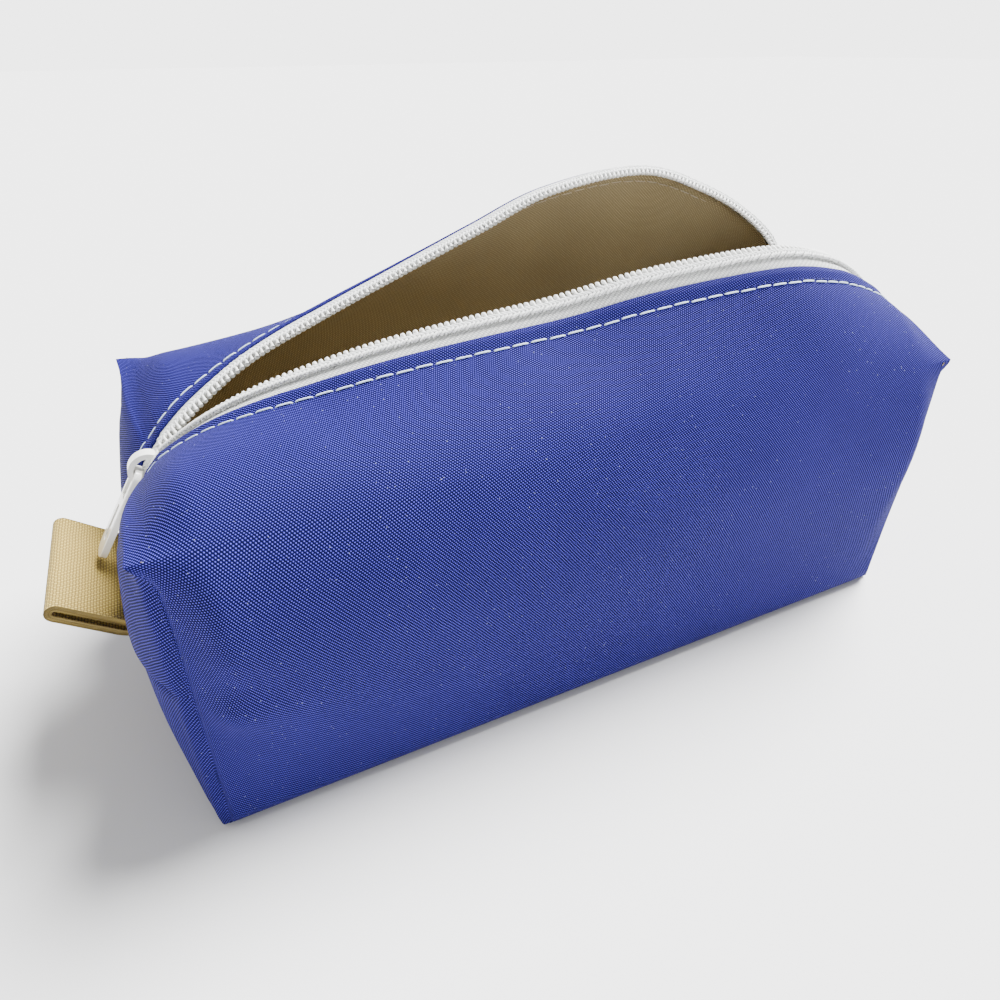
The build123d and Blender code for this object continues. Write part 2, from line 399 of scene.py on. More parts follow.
def wall_grid(fold, up, x, side):
    """One wall from its fold down to the floor, with its belly and its drawn-in corner seams."""
    foot = np.stack([x, np.full(len(fold), side * HALF_W), np.zeros(len(fold))], axis=1)
    belly = BELLY * smoothstep((HALF_L - np.abs(x)) / (60 * MM))
    heel = foot + np.stack([0 * belly, side * belly * 2, np.full(len(fold), 30 * MM)], axis=1)
    wall = bezier((fold, fold - up * 25 * MM, heel, foot), np.linspace(0, 1, ROWS))
    for edge in (-1, 1):
        away = HALF_L - edge * x
        fade = np.exp(-((away / (14 * MM)) ** 2))
        corner = np.stack([np.full(ROWS, edge * HALF_L), np.zeros(ROWS), wall[:, 0, 2]], axis=1)
        wall[:, :, 0] += pinch(corner, side)[:, None] * fade[None, :]
        drawn = tuck(away)[None, :] * corner_hold(wall[:, :, 2])
        wall[:, :, 0] -= edge * drawn
        wall[:, :, 1] -= side * drawn
    swing = np.sin(math.pi * np.linspace(0, 1, ROWS))[:, None] * softness(x * 0.9)[None, :]
    wall[:, :, 1] += side * ripples(wall, 42 * MM, 7.0 + side) * 1.2 * MM * swing
    if side == FRONT:
        crease(wall)
    return wall


def panel_grids(side, inset):
    """Outer surface of one panel: its flap grid, its wall grid, and their flat coordinates in millimetres."""
    flap, below, wall_up = flap_grid(side, inset)
    _, folds, _, base_at = columns(side)
    flap = relieved_flap(flap, below, folds, side, inset)
    main = slice(FIRST, LAST + 1)
    wall = wall_grid(flap[-1, main], wall_up[main], folds[main, 0], side)
    flat = -side * base_at / MM
    flap_uv = np.stack([np.broadcast_to(flat, below.shape), (HEIGHT + below) / MM], axis=-1)
    wall_uv = np.stack([np.broadcast_to(flat[main], wall.shape[:2]), wall[:, :, 2] / MM], axis=-1)
    return flap, wall, flap_uv, wall_uv


def crease(wall):
    """A soft fold that runs from the left end seam into the front."""
    start = np.array([-HALF_L, 0.0, SEAM_Z])
    slope = math.radians(-14)
    run = (wall[:, :, 0] - start[0]) * math.cos(slope) + (wall[:, :, 2] - start[2]) * math.sin(slope)
    across = -(wall[:, :, 0] - start[0]) * math.sin(slope) + (wall[:, :, 2] - start[2]) * math.cos(slope)
    fade = np.exp(-((run / (17 * MM)) ** 2)) * smoothstep((run - 2 * MM) / (8 * MM))
    ridge = np.exp(-((across / (4.5 * MM)) ** 2)) - 0.8 * np.exp(-(((across - 8 * MM) / (5 * MM)) ** 2))
    wall[:, :, 1] -= ridge * fade * 1.7 * MM


def hem_rows(flap, outward, radius):
    """Rows that roll the top edge of a panel over and back under itself."""
    edge, normal = flap[0], outward[0]
    into = unit(flap[0] - flap[1])
    rows = []
    for angle in (20, 50, 80, 110, 140, 170):
        a = math.radians(angle)
        rows.append(edge + into * radius * math.sin(a) - normal * radius * (1 - math.cos(a)))
    rows.append(edge - normal * 2 * radius - into * 3 * MM)
    return np.array(rows[::-1])


def draw_in(flap, wall, side, depth):
    """Moves a panel's surface towards the pocket, for the lining."""
    flap_normal = outward_normals(flap, side)
    wall_normal = outward_normals(wall, side)
    shared = unit(flap_normal[-1, FIRST : LAST + 1] + wall_normal[0])
    flap_normal[-1, FIRST : LAST + 1] = shared
    wall_normal[0] = shared
    from_edge = np.cumsum(np.linalg.norm(np.diff(flap, axis=0, prepend=flap[:1]), axis=2), axis=0)
    sink = 0.3 * MM + (depth - 0.3 * MM) * smoothstep(from_edge / (3 * MM))
    flap = flap - flap_normal * sink[:, :, None]
    wall = wall - wall_normal * depth
    flap[:, :, 0] *= (HALF_L - depth) / HALF_L
    wall[:, :, 0] *= (HALF_L - depth) / HALF_L
    wall[:, :, 2] = np.maximum(wall[:, :, 2], 1.4 * MM)
    return flap, wall


def with_hem(flap, flap_uv, side, flip):
    """A flap grid with its rolled hem added above it."""
    hem = hem_rows(flap, outward_normals(flap, side) * flip, HEM_RADIUS if flip > 0 else HEM_RADIUS / 4)
    above = np.linspace(4, 0.2, len(hem))[:, None, None] * np.array([0, 1])
    hem_uv = np.repeat(flap_uv[:1], len(hem), axis=0) + above
    return np.concatenate([hem, flap]), np.concatenate([hem_uv, flap_uv])


def floor_grid(side, wall, wall_uv):
    """Half of the bottom, from the foot of a wall to the middle line, with its flat coordinates."""
    base_rows = np.linspace(0, 1, 16)[1:]
    floor = np.repeat(wall[-1:], len(base_rows), axis=0)
    floor[:, :, 1] = wall[-1, :, 1] * (1 - base_rows)[:, None]
    ends = columns(side)[1][FIRST : LAST + 1, 0]
    let_out = tuck(HALF_L - np.abs(ends)) * smoothstep(base_rows * HALF_W / (5 * MM))[:, None]
    floor[:, :, 0] += np.sign(ends) * let_out
    floor_uv = np.repeat(wall_uv[-1:], len(base_rows), axis=0)
    floor_uv[:, :, 1] -= base_rows[:, None] * HALF_W / MM
    return floor, floor_uv


def build_panel(side, material, depth, inset, name):
    """One fabric panel: hem, flap, wall and half of the bottom, as a single mesh."""
    flap, wall, flap_uv, wall_uv = panel_grids(side, inset)
    if depth:
        flap, wall = draw_in(flap, wall, side, depth)
    top, top_uv = with_hem(flap[:, FIRST:], flap_uv[:, FIRST:], side, -1 if depth else 1)
    rows, cols = top.shape[:2]
    floor_level = wall[-1, :, 2].copy()
    floor, floor_uv = floor_grid(side, wall, wall_uv)
    lower = np.concatenate([wall[1:], floor])
    round_edge(lower, floor_level)
    lower_uv = np.concatenate([wall_uv[1:], floor_uv])
    verts = np.concatenate([top.reshape(-1, 3), lower.reshape(-1, 3)])
    uvs = np.concatenate([top_uv.reshape(-1, 2), lower_uv.reshape(-1, 2)])
    flip = (side == BACK) != bool(depth)
    faces = grid_faces(rows, cols, flip=flip)
    width = LAST - FIRST + 1
    fold_row = (rows - 1) * cols
    start = rows * cols
    for c in range(width - 1):
        quad = (fold_row + c, fold_row + c + 1, start + c + 1, start + c)
        faces.append(quad[::-1] if flip else quad)
    faces += grid_faces(len(lower), width, start, flip=flip)
    return mesh_object(name, verts, faces, uvs, material)


def build_gusset(side, material, depth, inset, name):
    """The left gusset of one side, running a little way under the main panel."""
    flap, wall, flap_uv, _ = panel_grids(side, inset)
    if depth:
        flap, _ = draw_in(flap, wall, side, depth)
    under = FIRST + 16
    outward = outward_normals(flap, side)
    past = np.arange(flap.shape[1]) - FIRST
    sink = np.where(past >= 0, 0.02 * MM + 0.6 * MM * (past / 12) ** 2, 0)[None, :, None]
    flap = flap - outward * sink
    top, top_uv = with_hem(flap[:, :under], flap_uv[:, :under], side, -1 if depth else 1)
    flip = (side == BACK) != bool(depth)
    faces = grid_faces(*top.shape[:2], flip=flip)
    return mesh_object(name, top.reshape(-1, 3), faces, top_uv.reshape(-1, 2), material)


def round_edge(grid, floor_level):
    """Rounds the long bottom edges of a surface, where the walls turn under."""
    radius = EDGE_ROUND
    y, z = grid[:, :, 1], grid[:, :, 2]
    out = np.abs(y) - (HALF_W - radius)
    low = radius - (z - floor_level[None, :])
    corner = (out > 0) & (low > 0)
    size = np.sqrt(out**2 + low**2)
    scale = np.where(corner & (size > radius), radius / np.maximum(size, 1e-9), 1)
    grid[:, :, 1] = np.where(corner, np.sign(y) * (HALF_W - radius + out * scale), y)
    grid[:, :, 2] = np.where(corner, floor_level[None, :] + radius - low * scale, z)


# ---------------------------------------------------------------- materials


def node_material(name):
    """A new node material: (material, nodes, links, principled shader)."""
    material = bpy.data.materials.new(name)
    material.use_nodes = True
    nodes, links = material.node_tree.nodes, material.node_tree.links
    return material, nodes, links, nodes["Principled BSDF"]


def add(nodes, kind, **settings):
    """A node with its inputs or properties set by name."""
    node = nodes.new(kind)
    for key, value in settings.items():
        if key in node.inputs:
            node.inputs[key].default_value = value
        else:
            setattr(node, key, value)
    return node


def math_node(nodes, links, operation, a, b=None):
    """A math node fed by sockets or numbers."""
    node = nodes.new("ShaderNodeMath")
    node.operation = operation
    for slot, value in enumerate((a, b)):
        if value is None:
            continue
        if isinstance(value, (int, float)):
            node.inputs[slot].default_value = value
        else:
            links.new(value, node.inputs[slot])
    return node.outputs[0]


def arch(nodes, links, across):
    """Zero at the edges of each cell of the weave and one at its middle."""
    angle = math_node(nodes, links, "MULTIPLY", across, math.pi)
    sine = math_node(nodes, links, "SINE", angle)
    return math_node(nodes, links, "ABSOLUTE", sine)


def yarn(nodes, links, across, lengthwise, on_top):
    """Height of one set of yarns: crowned across, nearly even along, and only in the cells it covers."""
    crown = math_node(nodes, links, "POWER", across, 0.9)
    crest = math_node(nodes, links, "POWER", lengthwise, 0.4)
    height = math_node(nodes, links, "MULTIPLY", crown, crest)
    return math_node(nodes, links, "MULTIPLY", height, on_top)


def weave_height(nodes, links, pitch_u, pitch_v, turn=0.0):
    """Height of a plain weave from the flat coordinates in millimetres, and which cells show the warp."""
    uv = add(nodes, "ShaderNodeUVMap")
    mapping = add(nodes, "ShaderNodeMapping")
    mapping.inputs["Rotation"].default_value[2] = turn
    links.new(uv.outputs[0], mapping.inputs["Vector"])
    wobble = add(nodes, "ShaderNodeTexNoise", Scale=0.12, Detail=2.0)
    links.new(mapping.outputs[0], wobble.inputs["Vector"])
    shift = nodes.new("ShaderNodeVectorMath")
    shift.operation = "MULTIPLY_ADD"
    links.new(wobble.outputs["Color"], shift.inputs[0])
    shift.inputs[1].default_value = (0.5, 0.5, 0.0)
    links.new(mapping.outputs[0], shift.inputs[2])
    parts = add(nodes, "ShaderNodeSeparateXYZ")
    links.new(shift.outputs[0], parts.inputs[0])
    across_u = math_node(nodes, links, "DIVIDE", parts.outputs["X"], pitch_u)
    across_v = math_node(nodes, links, "DIVIDE", parts.outputs["Y"], pitch_v)
    wave_u = arch(nodes, links, across_u)
    wave_v = arch(nodes, links, across_v)
    cell_u = math_node(nodes, links, "FLOOR", across_u)
    cell_v = math_node(nodes, links, "FLOOR", across_v)
    cells = math_node(nodes, links, "ADD", cell_u, cell_v)
    warp_up = math_node(nodes, links, "FLOORED_MODULO", cells, 2.0)
    weft_up = math_node(nodes, links, "SUBTRACT", 1.0, warp_up)
    warp = yarn(nodes, links, wave_u, wave_v, warp_up)
    weft = yarn(nodes, links, wave_v, wave_u, weft_up)
    return warp, weft, uv.outputs[0]


def slanted_height(nodes, links, first, second):
    """Height of a weave whose raised spots line up in two slanted rows, in cycles per millimetre."""
    uv = add(nodes, "ShaderNodeUVMap")
    wobble = add(nodes, "ShaderNodeTexNoise", Scale=0.15, Detail=3.0)
    links.new(uv.outputs[0], wobble.inputs["Vector"])
    shift = nodes.new("ShaderNodeVectorMath")
    shift.operation = "MULTIPLY_ADD"
    links.new(wobble.outputs["Color"], shift.inputs[0])
    shift.inputs[1].default_value = (0.35, 0.35, 0.0)
    links.new(uv.outputs[0], shift.inputs[2])
    both = (first[0] + second[0], first[1] + second[1])
    total = 0.5
    for row, weight in ((first, 0.29), (second, 0.19), (both, 0.09)):
        phase = nodes.new("ShaderNodeVectorMath")
        phase.operation = "DOT_PRODUCT"
        links.new(shift.outputs[0], phase.inputs[0])
        phase.inputs[1].default_value = (row[0] * 2 * math.pi, row[1] * 2 * math.pi, 0)
        wave = math_node(nodes, links, "COSINE", phase.outputs["Value"])
        total = math_node(nodes, links, "ADD", math_node(nodes, links, "MULTIPLY", wave, weight), total)
    return total, uv.outputs[0]


def mix_colour(nodes, links, factor, a, b, blend="MIX"):
    """Two colours mixed by a factor socket or number."""
    node = nodes.new("ShaderNodeMix")
    node.data_type = "RGBA"
    node.blend_type = blend
    for key, value in (("Factor", factor), ("A", a), ("B", b)):
        kind = "VALUE" if key == "Factor" else "RGBA"
        slot = [i for i in node.inputs if i.name == key and i.type == kind][0]
        if isinstance(value, (int, float)):
            slot.default_value = value
        elif isinstance(value, tuple):
            slot.default_value = (*value, 1)
        else:
            links.new(value, slot)
    return [o for o in node.outputs if o.type == "RGBA"][0]


def fabric(name, deep, warp_tint, weft_tint, pitch, bump, rough, sheen, turn=0.0):
    """Woven cloth with warp and weft in their own tints."""
    material, nodes, links, shader = node_material(name)
    warp, weft, uv = weave_height(nodes, links, *pitch, turn)
    height = math_node(nodes, links, "ADD", warp, weft)
    tint = mix_colour(nodes, links, warp, deep, warp_tint)
    tint = mix_colour(nodes, links, weft, tint, weft_tint)
    finish_cloth(nodes, links, shader, tint, deep, height, uv, bump, rough, sheen)
    return material


def slanted_cloth(name, deep, spot_tint, rows, bump, rough, lint):
    """Fine cloth with bright raised spots in slanted rows, and specks of lint."""
    material, nodes, links, shader = node_material(name)
    height, uv = slanted_height(nodes, links, *rows)
    tint = mix_colour(nodes, links, math_node(nodes, links, "POWER", height, 4.6), deep, spot_tint)
    speck = add(nodes, "ShaderNodeTexVoronoi", Scale=0.6, Randomness=1.0)
    links.new(uv, speck.inputs["Vector"])
    patch = add(nodes, "ShaderNodeTexNoise", Scale=0.04, Detail=2.0)
    links.new(uv, patch.inputs["Vector"])
    size = math_node(nodes, links, "MULTIPLY", patch.outputs["Fac"], 0.11)
    near = math_node(nodes, links, "LESS_THAN", speck.outputs["Distance"], size)
    tint = mix_colour(nodes, links, math_node(nodes, links, "MULTIPLY", near, lint), tint, (0.45, 0.5, 0.7))
    finish_cloth(nodes, links, shader, tint, deep, height, uv, bump, rough, 0.0)
    shader.inputs["Specular IOR Level"].default_value = 0.06
    return material


def finish_cloth(nodes, links, shader, tint, deep, height, uv, bump, rough, sheen):
    """Slight unevenness of dye, relief of the weave, and the finish of the yarn."""
    cloud = add(nodes, "ShaderNodeTexNoise", Scale=0.05, Detail=5.0)
    links.new(uv, cloud.inputs["Vector"])
    faded = math_node(nodes, links, "MULTIPLY", cloud.outputs["Fac"], 0.3)
    tint = mix_colour(nodes, links, faded, tint, deep)
    links.new(tint, shader.inputs["Base Color"])
    relief = nodes.new("ShaderNodeBump")
    relief.inputs["Strength"].default_value = 1.0
    relief.inputs["Distance"].default_value = bump
    links.new(height, relief.inputs["Height"])
    links.new(relief.outputs[0], shader.inputs["Normal"])
    shader.inputs["Roughness"].default_value = rough
    shader.inputs["Sheen Weight"].default_value = sheen
    shader.inputs["Sheen Roughness"].default_value = 0.5
    shader.inputs["Specular IOR Level"].default_value = 0.2


CANVAS = slanted_cloth(
    "canvas_blue",
    deep=(0.0001, 0.0002, 0.021),
    spot_tint=(0.112, 0.097, 0.69),
    rows=((1.47, 1.11), (0.58, -2.17)),
    bump=0.08 * MM,
    rough=0.75,
    lint=0.5,
)
LINING = fabric(
    "lining_khaki",
    deep=(0.07, 0.052, 0.024),
    warp_tint=(0.76, 0.61, 0.34),
    weft_tint=(0.50, 0.40, 0.21),
    pitch=(0.47, 0.44),
    bump=0.12 * MM,
    rough=0.85,
    sheen=0.05,
)
WEBBING = fabric(
    "tab_beige",
    deep=(0.10, 0.06, 0.012),
    warp_tint=(0.66, 0.49, 0.13),
    weft_tint=(0.46, 0.33, 0.075),
    pitch=(0.66, 0.62),
    bump=0.16 * MM,
    rough=0.85,
    sheen=0.05,
)
TAPE = fabric(
    "tape_white",
    deep=(0.36, 0.37, 0.37),
    warp_tint=(0.93, 0.94, 0.92),
    weft_tint=(0.84, 0.85, 0.84),
    pitch=(0.55, 0.80),
    bump=0.14 * MM,
    rough=0.8,
    sheen=0.1,
    turn=0.6,
)


def plain(name, colour, rough, coat=0.0, subsurface=0.0, bump=0.0, size=60.0):
    """A moulded, painted or spun surface with a little unevenness."""
    material, nodes, links, shader = node_material(name)
    place = add(nodes, "ShaderNodeTexCoord")
    mottle = add(nodes, "ShaderNodeTexNoise", Scale=size, Detail=5.0)
    links.new(place.outputs["Object"], mottle.inputs["Vector"])
    darker = tuple(c * 0.88 for c in colour)
    tint = mix_colour(nodes, links, mottle.outputs["Fac"], darker, colour)
    links.new(tint, shader.inputs["Base Color"])
    shader.inputs["Roughness"].default_value = rough
    shader.inputs["Coat Weight"].default_value = coat
    shader.inputs["Coat Roughness"].default_value = 0.15
    shader.inputs["Subsurface Weight"].default_value = subsurface
    shader.inputs["Subsurface Radius"].default_value = (0.001, 0.001, 0.001)
    if bump:
        relief = nodes.new("ShaderNodeBump")
        relief.inputs["Distance"].default_value = bump
        links.new(mottle.outputs["Fac"], relief.inputs["Height"])
        links.new(relief.outputs[0], shader.inputs["Normal"])
    return material


COIL = plain("coil_nylon", (0.87, 0.87, 0.85), 0.35, subsurface=0.2)
THREAD = plain("thread_white", (0.62, 0.74, 0.93), 0.6, bump=0.0002, size=2500)
BOBBIN = plain("thread_tan", (0.50, 0.42, 0.30), 0.7, bump=0.0002, size=2500)
SEWING = plain("thread_coil", (0.84, 0.85, 0.84), 0.6, bump=0.0002, size=2500)
ENAMEL = plain("enamel_white", (0.86, 0.85, 0.81), 0.22, coat=0.6, size=250)


# ---------------------------------------------------------------- fabric pieces


def bend(piece, side, word, *nodes):
    """Bakes a piece's placement into its mesh and hides the CAD nodes it stands for."""
    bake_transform(piece)
    if nodes:
        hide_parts(*nodes)
    return piece


def make_panels():
    """Canvas and lining panels of both sides, with their left gussets."""
    for side, word in SIDES:
        for kind, material, depth, inset in (
            ("canvas", CANVAS, 0, TAPE_SHOWN),
            ("lining", LINING, LINING_DEPTH, LINING_INSET),
        ):
            panel = build_panel(side, material, depth, inset, f"{word}_{kind}_panel")
            bend(panel, side, word, f"{word}_flap_{kind}", f"{word}_wall_{kind}")
            if side == FRONT:
                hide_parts("canvas_bottom" if kind == "canvas" else "lining_bottom")
            gusset = build_gusset(side, material, depth, inset, f"left_{word}_{kind}_gusset")
            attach(gusset, "pouch")
            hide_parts(f"left_{word}_gusset_{kind}")


def seam_line(end, depth):
    """The seam across one end, from front to back, at even distances."""
    halves = []
    for side, _ in SIDES:
        curves, _ = flap_curves(side)
        halves.append(curves[:, 0 if end < 0 else -1])
    line = np.vstack([halves[0][::-1], halves[1][1:]])
    line[:, 0] -= end * depth
    reach = lengths(line)
    return along(line, reach[-1] * eased(64)), reach[-1] * eased(64)


def end_grid(end, depth):
    """Lower half of one end: rounded at the floor, swelling to the seam."""
    seam, run = seam_line(end, depth)
    rows = eased(34)[:, None]
    lift = 1.4 * MM if depth else 0
    level = lift + (seam[None, :, 2] - lift) * rows
    edge = np.stack([np.full(len(rows), end * HALF_L), np.zeros(len(rows)), level[:, 0]], axis=1)
    edge_x = np.abs(edge[:, 0] + pinch(edge, FRONT)) - depth
    swell = np.abs(seam[:, 0]) - np.abs(seam[0, 0])
    turn = np.clip(rows * SEAM_Z / EDGE_ROUND, 0, 1)
    shape = (0.45 + 0.55 * rows**0.8) * np.sqrt(1 - (1 - turn) ** 2)
    grid = np.empty((len(rows), len(run), 3))
    grid[:, :, 0] = edge_x[:, None] + swell[None, :] * shape
    grid[:, :, 1] = seam[None, :, 1]
    grid[:, :, 2] = level
    from_side = np.minimum(run, run[-1] - run)[None, :]
    bulge = np.sin(math.pi * rows) * smoothstep(from_side / (25 * MM))
    grid[:, :, 0] += 0.9 * MM * bulge + ripples(grid, 30 * MM, 11.0 + end) * 0.6 * MM * bulge
    drawn = tuck(from_side) * corner_hold(level)
    grid[:, :, 0] -= drawn + tuck((1 - rows) * SEAM_Z) * smoothstep(from_side / (7 * MM)) * (rows < 0.999)
    grid[:, :, 1] -= np.sign(grid[:, :, 1]) * drawn
    grid[:, :, 0] *= end
    grid[:, :, 1] *= (HALF_W - depth) / HALF_W
    round_edge(grid, grid[0, :, 2].copy())
    uv = np.stack(np.broadcast_arrays(run[None, :] / MM, rows * SEAM_Z / MM), axis=-1)
    panel = with_allowance(grid, end, -1 if depth else 1)
    return panel, np.pad(uv, ALLOWANCE_PAD, mode="edge")


def with_allowance(grid, end, inward):
    """An end panel with its seam allowances, turned into the pouch along its sides and its foot."""
    turned = 3 * MM
    clear = 0.15 * MM
    grid = np.pad(grid, ALLOWANCE_PAD, mode="edge")
    grid[0, 1:-1] += np.array([-end * turned, 0, inward * clear])
    grid[:, 0] = grid[:, 1] + np.array([-end * turned, inward * 2 * clear, 0])
    grid[:, -1] = grid[:, -2] + np.array([-end * turned, -inward * 2 * clear, 0])
    grid[0, 0] = grid[0, 1]
    grid[0, -1] = grid[0, -2]
    return grid


def make_ends():
    """Lower half of both ends, in canvas and in lining."""
    for end, word in ((-1, "left"), (1, "right")):
        for depth, kind, material in ((0, "canvas", CANVAS), (1.0 * MM, "lining", LINING)):
            grid, uv = end_grid(end, depth)
            flip = (end > 0) == (depth > 0)
            faces = grid_faces(*grid.shape[:2], flip=flip)
            name = f"{word}_end_{kind}_panel"
            piece = mesh_object(name, grid.reshape(-1, 3), faces, uv.reshape(-1, 2), material)
            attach(piece, "pouch")
            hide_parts(f"{word}_end_{kind}")


# ---------------------------------------------------------------- zip


def edge_strip(side):
    """The outer surface beside the zip line: a grid of points by distance along it and in from it."""
    curves, _ = flap_curves(side)
    inward = np.linspace(0, 16 * MM, 65)
    grid = np.array([along(curves[:, k], inward) for k in range(curves.shape[1])])
    _, _, zip_at, _ = columns(side)
    return grid, zip_at, inward


STRIPS = {side: edge_strip(side) for side, _ in SIDES}


def on_strip(side, at, inward):
    """Points of the surface at distances along the zip line and in from it."""
    grid, zip_at, steps = STRIPS[side]
    at = np.clip(at, zip_at[0], zip_at[-1])
    col = np.clip(np.searchsorted(zip_at, at, side="right") - 1, 0, len(zip_at) - 2)
    row = np.clip((inward / steps[1]).astype(int), 0, len(steps) - 2)
    u = ((at - zip_at[col]) / (zip_at[col + 1] - zip_at[col]))[..., None]
    v = (inward / steps[1] - row)[..., None]
    low = grid[col, row] * (1 - u) + grid[col + 1, row] * u
    high = grid[col, row + 1] * (1 - u) + grid[col + 1, row + 1] * u
    return low * (1 - v) + high * v


def strip_frames(side, at, inward):
    """Points of the surface with their directions: along, in towards the fold, and out of the pouch."""
    at, inward = np.broadcast_arrays(np.asarray(at, float), np.asarray(inward, float))
    point = on_strip(side, at, inward)
    ahead = unit(on_strip(side, at + 0.5 * MM, inward) - on_strip(side, at - 0.5 * MM, inward))
    down = on_strip(side, at, inward + 0.3 * MM) - on_strip(side, at, np.maximum(inward - 0.3 * MM, 0))
    down = unit(down - ahead * np.sum(down * ahead, axis=-1, keepdims=True))
    out = unit(np.cross(ahead, down)) * side
    return point, ahead, down, out


def ribbon(name, side, distances, spans, material):
    """A strip beside the zip line; spans are (distance in from it, height) pairs across the strip."""
    rows = []
    for inward, height in spans:
        point, _, _, out = strip_frames(side, distances, inward)
        rows.append(point + out * height)
    grid = np.array(rows)
    across = lengths(np.array([(a, h, 0) for a, h in spans]))
    uv = np.stack(np.broadcast_arrays(distances[None, :] / MM, across[:, None] / MM), axis=-1)
    faces = grid_faces(*grid.shape[:2], flip=side == BACK)
    return mesh_object(name, grid.reshape(-1, 3), faces, uv.reshape(-1, 2), material)


def tube(path, radii, sides=7, start=0):
    """Vertices and faces of a round tube along a path, closed at its ends."""
    ahead = unit(np.gradient(path, axis=0))
    helper = np.array([0.0, 0.0, 1.0])
    side_dir = np.cross(ahead, helper)
    weak = np.linalg.norm(side_dir, axis=1) < 0.2
    side_dir[weak] = np.cross(ahead[weak], np.array([1.0, 0, 0]))
    side_dir = unit(side_dir)
    up = np.cross(side_dir, ahead)
    turn = np.linspace(0, 2 * math.pi, sides, endpoint=False)
    ring = np.cos(turn)[None, :, None] * side_dir[:, None] + np.sin(turn)[None, :, None] * up[:, None]
    verts = (path[:, None] + ring * radii[:, None, None]).reshape(-1, 3)
    faces = grid_faces(len(path), sides, start, closed=True)
    faces.append(tuple(range(start + sides - 1, start - 1, -1)))
    tail = start + (len(path) - 1) * sides
    faces.append(tuple(range(tail, tail + sides)))
    return verts, faces


def coil_mesh(name, side, first, last, tip=0.1 * MM):
    """The nylon coil of one side: a flattened spiral whose turns swell into heads at the zip line."""
    turns = int((last - first) / COIL_PITCH)
    steps = 14
    angle = np.arange(turns * steps) * 2 * math.pi / steps
    at = first + angle / (2 * math.pi) * COIL_PITCH
    point, _, down, out = strip_frames(side, at, 0.0)
    half = COIL_WIDTH / 2
    inward = tip + half - (half - COIL_EDGE) * np.cos(angle)
    height = COIL_LIFT + COIL_HALF_HEIGHT * np.sin(angle)
    path = point + down * inward[:, None] + out * height[:, None]
    head = np.exp(-(((angle + math.pi) % (2 * math.pi) - math.pi) / 0.7) ** 2)
    radii = COIL_YARN + COIL_HEAD * head
    verts, faces = tube(path, radii, 7)
    return mesh_object(name, verts, faces, None, COIL)


def stitches(name, side, first, last, inward, height, length, pitch, radius, material, slant=0.0):
    """A row of separate stitches beside the zip line; a negative height puts them on the inner face."""
    fine = np.linspace(first, last, 900)
    reach = lengths(on_strip(side, fine, np.full(len(fine), inward)))
    verts, faces, used = [], [], 0
    share = np.array([-1, -0.9, -0.75, -0.4, 0, 0.4, 0.75, 0.9, 1])
    for k, begin in enumerate(np.arange(0, reach[-1] - length, pitch)):
        at = np.interp(begin + length * (share + 1) / 2, reach, fine)
        sway = 0.10 * MM * math.sin(k * 2.3) + slant * share
        point, _, _, out = strip_frames(side, at, inward + sway)
        dip = math.copysign(1.9, height) * radius * share**8
        path = point + out * (height - dip)[:, None]
        radii = radius * np.sqrt(np.clip(1.02 - share**8, 0.05, 1))
        v, f = tube(path, radii, 6, used)
        used += len(v)
        verts.append(v)
        faces += f
    return mesh_object(name, np.concatenate(verts), faces, None, material)


TAPE_SPANS = (
    (1.1 * MM, -0.10 * MM),
    (1.3 * MM, 0.16 * MM),
    (2.6 * MM, 0.20 * MM),
    (3.3 * MM, 0.22 * MM),
    (3.8 * MM, 0.42 * MM),
    (4.6 * MM, 0.46 * MM),
    (5.3 * MM, 0.30 * MM),
    (6.3 * MM, 0.05 * MM),
    (8.0 * MM, -0.40 * MM),
    (9.5 * MM, -0.45 * MM),
)


def coil_braids(side, word, ending, first, last):
    """The two rows of sewing thread that hold a coil to its tape."""
    braids = []
    for n, (inward, slant) in enumerate(((1.95 * MM, 0.42 * MM), (2.85 * MM, -0.42 * MM))):
        braid = stitches(
            f"{word}_coil_braid_{n}{ending}", side, first, last, inward, COIL_LIFT + 0.55 * MM,
            1.45 * MM, COIL_PITCH / 1.5, 0.30 * MM, SEWING, slant,
        )
        braids.append(braid)
    return braids


def zip_run(side, word, first, last, closed):
    """Tape, coil and thread of one stretch: along a lip, or closed down the left end."""
    ending = "_closed" if closed else ""
    run = np.linspace(first, last + (3 * MM if closed else 0), 60 if closed else 420)
    sunk = 0.06 * MM if closed else 0
    spans = [(inward, height - sunk) for inward, height in TAPE_SPANS]
    tape = ribbon(f"{word}_tape{ending}", side, run, spans, TAPE)
    tip = -0.25 * MM if closed else 0.1 * MM
    coil = coil_mesh(f"{word}_coil{ending}", side, first, last, tip)
    braids = coil_braids(side, word, ending, first, last)
    for piece, node in ((tape, "tape"), (coil, "coil"), (braids[0], None), (braids[1], None)):
        if closed:
            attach(piece, "pouch")
        else:
            bend(piece, side, word)
        if node:
            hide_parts(f"zip_tail_{node}" if closed else f"{word}_zip_{node}")


def make_zip():
    """Tape, coil and sewing thread of both lips and of the closed end."""
    for side, word in SIDES:
        _, tail_length = zip_path(side)
        total = columns(side)[2][-1]
        zip_run(side, word, tail_length, total, closed=False)
        zip_run(side, word, 0.1 * MM, tail_length - 0.3 * MM, closed=True)


def make_stitching():
    """Topstitching along both edges of the zip, and its underside on the lining."""
    for side, word in SIDES:
        total = columns(side)[2][-1]
        inward = TAPE_SHOWN + STITCH_INSET
        row = stitches(
            f"{word}_stitches", side, 4 * MM, total - 4 * MM, inward, 0.10 * MM,
            STITCH_LENGTH, STITCH_PITCH, 0.20 * MM, THREAD,
        )
        bend(row, side, word, f"{word}_topstitch")
        under = stitches(
            f"{word}_stitches_inside", side, 4 * MM, total - 4 * MM, inward, -LINING_DEPTH - 0.16 * MM,
            STITCH_LENGTH, STITCH_PITCH, 0.15 * MM, BOBBIN,
        )
        bend(under, side, word)


